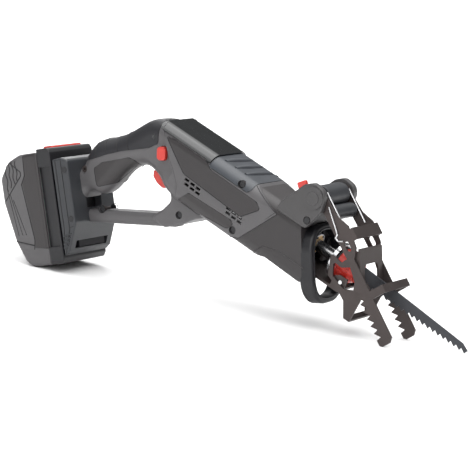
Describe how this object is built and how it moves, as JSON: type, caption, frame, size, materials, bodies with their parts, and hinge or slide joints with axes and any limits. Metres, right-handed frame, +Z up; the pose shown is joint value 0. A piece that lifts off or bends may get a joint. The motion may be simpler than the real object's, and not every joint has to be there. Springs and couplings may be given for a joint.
{
  "type": "reciprocating saw",
  "caption": "Battery reciprocating saw with a D-shaped grip, slide-on pack, tool-free blade clamp, tilting shoe and a hinged toothed branch holder.",
  "frame": {"origin": "middle of the bottom of the saw's bounding box as it lies at rest on the lower edge of its battery pack and the tips of its holder arms", "axes": "+X from the battery pack towards the blade's tip, +Y to the left of the saw, +Z up"},
  "size_m": [0.5387, 0.0762, 0.1757],
  "materials": {
    "grey_plastic": "fine matt grain",
    "dark_grey_plastic": "fine matt grain",
    "charcoal_plastic": "matt",
    "bracket_grey": "fine matt grain",
    "black_gloss": "polished",
    "black_plastic": "satin",
    "red_plastic": "semi-gloss",
    "overmold_rubber": "matt soft-touch",
    "boot_rubber": "matt",
    "pad_rubber": "matt",
    "blade_steel": "dark slate coating",
    "dark_steel": "dark satin",
    "bright_steel": "satin",
    "iron_core": "laminated",
    "copper": "satin",
    "carbon": "matt",
    "cast_alloy": "as cast",
    "bronze": "sintered",
    "cell_wrap": "shrink-wrapped cells",
    "board_green": "solder mask"
  },
  "bodies": {
    "body": {"left_shell": "grey_plastic", "right_shell": "grey_plastic", "rear_cover": "black_gloss", "top_pad": "pad_rubber", "grip_overmold": "overmold_rubber", "left_side_panel": "dark_grey_plastic", "right_side_panel": "dark_grey_plastic", "left_lower_panel": "dark_grey_plastic", "right_lower_panel": "dark_grey_plastic", "left_grip_inset": "dark_grey_plastic", "right_grip_inset": "dark_grey_plastic", "front_cover": "dark_grey_plastic", "nose_boot": "boot_rubber", "battery_foot": "charcoal_plastic", "terminal_block": "black_plastic", "motor_can": "bright_steel", "motor_end_cap": "black_plastic", "rotor_bearings": "bright_steel", "carbon_brushes": "carbon", "crank_bearing": "bright_steel", "plunger_bushes": "bronze", "gear_case": "cast_alloy", "switch_body": "black_plastic", "speed_controller": "board_green", "holder_bracket": "bracket_grey", "housing_screws": "dark_steel", "pivot_pin": "bright_steel", "shoe_carrier": "dark_steel", "shoe_pins": "bright_steel"},
    "rotor": {"rotor_shaft": "bright_steel", "armature": "iron_core", "commutator": "copper", "cooling_fan": "black_plastic", "pinion": "bright_steel"},
    "crank": {"crank_gear": "bright_steel", "crank_shaft": "bright_steel"},
    "plunger_set": {"plunger": "bright_steel", "yoke": "bright_steel", "clamp_ring": "bright_steel", "clamp_collar": "red_plastic", "clamp_pin": "bright_steel", "blade": "blade_steel"},
    "trigger": {"trigger": "red_plastic", "trigger_spring": "bright_steel"},
    "lock_off": {"lock_off_button": "red_plastic"},
    "battery": {"pack_base": "black_plastic", "pack_cover": "grey_plastic", "pack_label_strips": "dark_grey_plastic", "battery_cells": "cell_wrap", "pack_board": "board_green"},
    "release": {"release_button": "red_plastic", "release_spring": "bright_steel"},
    "holder": {"holder_hub": "bright_steel", "left_arm": "dark_steel", "right_arm": "dark_steel", "cross_plates": "dark_steel", "stop_bar": "dark_steel", "holder_spring": "bright_steel"},
    "holder_lock": {"lock_button": "red_plastic"},
    "shoe": {"shoe": "dark_steel"}
  },
  "joints": [
    {"name": "rotor_spin", "type": "hinge", "parent": "body", "child": "rotor", "pos_m": [-0.02225, 0, 0.11908], "axis": [0.9332, 0, -0.3595], "continuous": true},
    {"name": "crank_spin", "type": "hinge", "parent": "body", "child": "crank", "pos_m": [0.04507, 0, 0.08243], "axis": [0.3595, 0, 0.9332], "continuous": true},
    {"name": "plunger_stroke", "type": "slide", "parent": "body", "child": "plunger_set", "axis": [0.9332, 0, -0.3595], "range_m": [-0.01, 0.01]},
    {"name": "trigger_pull", "type": "slide", "parent": "body", "child": "trigger", "axis": [-0.4373, 0, 0.8993], "range_m": [0, 0.005], "stiffness_N_per_m": 800, "springref_m": -0.003, "deforming": ["trigger_spring"]},
    {"name": "lock_off_push", "type": "slide", "parent": "body", "child": "lock_off", "axis": [0, 1, 0], "range_m": [-0.003, 0.003], "stiffness_N_per_m": 500},
    {"name": "battery_slide", "type": "slide", "parent": "body", "child": "battery", "axis": [-0.2745, 0, 0.9616], "range_m": [0, 0.105]},
    {"name": "release_press", "type": "slide", "parent": "battery", "child": "release", "axis": [0.2745, 0, -0.9616], "range_m": [0, 0.003], "stiffness_N_per_m": 900, "springref_m": -0.002, "deforming": ["release_spring"]},
    {"name": "holder_swing", "type": "hinge", "parent": "body", "child": "holder", "pos_m": [0.10483, 0, 0.12907], "axis": [0, -1, 0], "range_deg": [0, 60]},
    {"name": "holder_lock_press", "type": "slide", "parent": "body", "child": "holder_lock", "axis": [0.4529, 0, -0.8915], "range_m": [0, 0.0025], "stiffness_N_per_m": 600, "springref_m": -0.002},
    {"name": "shoe_tilt", "type": "hinge", "parent": "body", "child": "shoe", "pos_m": [0.13832, 0, 0.05187], "axis": [0, 1, 0], "range_deg": [-10, 10]}
  ],
  "couplings": [
    {"joint": "crank_spin", "follows": "rotor_spin", "ratio": -0.25}
  ]
}
